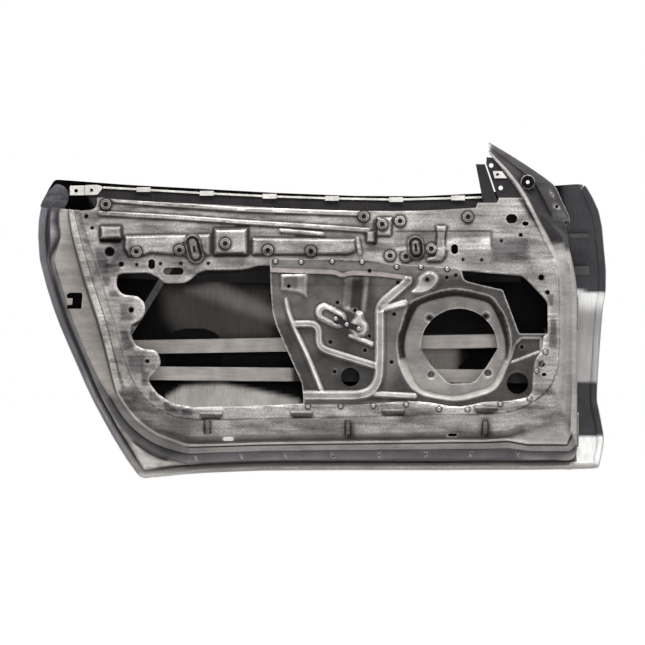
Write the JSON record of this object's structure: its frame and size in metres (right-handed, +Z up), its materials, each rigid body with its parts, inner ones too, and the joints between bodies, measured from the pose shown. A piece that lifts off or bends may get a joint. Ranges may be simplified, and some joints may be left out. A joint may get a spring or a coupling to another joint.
{
  "type": "car door shell",
  "caption": "Bare left front coupe door shell: cast inner frame, hemmed outer skin, pressed carrier with speaker hole, impact beams and belt rail.",
  "frame": {"origin": "centre of the upper hinge pad's front face", "axes": "+X forward along the car, +Y outboard from the cabin, +Z up"},
  "size_m": [1.385, 0.1571, 0.813],
  "materials": {
    "cast_aluminium": "mottled grey die casting, matt, stained",
    "skin_aluminium": "satin sheet, primed inside",
    "carrier_aluminium": "satin pressed sheet, grey",
    "beam_aluminium": "satin extrusion",
    "rail_aluminium": "bright satin",
    "dark_coated_sheet": "dark electrocoat, satin",
    "black_rubber": "matt",
    "rivet_aluminium": "bright satin"
  },
  "bodies": {
    "root": {"inner_frame": "cast_aluminium", "outer_skin": "skin_aluminium", "module_carrier": "carrier_aluminium", "lift_link": "dark_coated_sheet", "upper_impact_beam": "beam_aluminium", "upper_beam_rear_bracket": "beam_aluminium", "upper_beam_front_bracket": "beam_aluminium", "lower_impact_beam": "beam_aluminium", "lower_beam_rear_bracket": "beam_aluminium", "lower_beam_front_bracket": "beam_aluminium", "belt_rail": "rail_aluminium", "outer_belt_reinforcement": "dark_coated_sheet", "belt_end_bracket": "rail_aluminium", "front_window_guide": "dark_coated_sheet", "mirror_plate": "dark_coated_sheet", "mirror_stay": "rail_aluminium", "mirror_grommet": "black_rubber", "rear_diagonal_brace": "beam_aluminium", "upper_hinge_nut_plate": "beam_aluminium", "lower_hinge_nut_plate": "beam_aluminium", "latch_nut_plate": "beam_aluminium", "lower_skin_bracket": "rail_aluminium", "upper_skin_bracket": "rail_aluminium", "rear_damping_pad": "black_rubber", "front_damping_pad": "black_rubber", "drain_plug": "rail_aluminium", "belt_rivet_1": "rivet_aluminium", "belt_rivet_2": "rivet_aluminium", "belt_rivet_3": "rivet_aluminium", "belt_rivet_4": "rivet_aluminium", "belt_rivet_5": "rivet_aluminium", "belt_rivet_6": "rivet_aluminium", "belt_rivet_7": "rivet_aluminium", "sill_rivet_1": "rivet_aluminium", "sill_rivet_2": "rivet_aluminium", "sill_rivet_3": "rivet_aluminium", "sill_rivet_4": "rivet_aluminium", "sill_rivet_5": "rivet_aluminium", "sill_rivet_6": "rivet_aluminium", "sill_rivet_7": "rivet_aluminium", "sill_rivet_8": "rivet_aluminium", "sill_rivet_9": "rivet_aluminium", "sill_rivet_10": "rivet_aluminium", "link_rivet_1": "rivet_aluminium", "link_rivet_2": "rivet_aluminium", "link_rivet_3": "rivet_aluminium", "belt_clip_1": "rail_aluminium", "belt_clip_2": "rail_aluminium", "belt_clip_3": "rail_aluminium", "belt_clip_4": "rail_aluminium", "belt_clip_5": "rail_aluminium", "belt_clip_6": "rail_aluminium"}
  },
  "joints": []
}
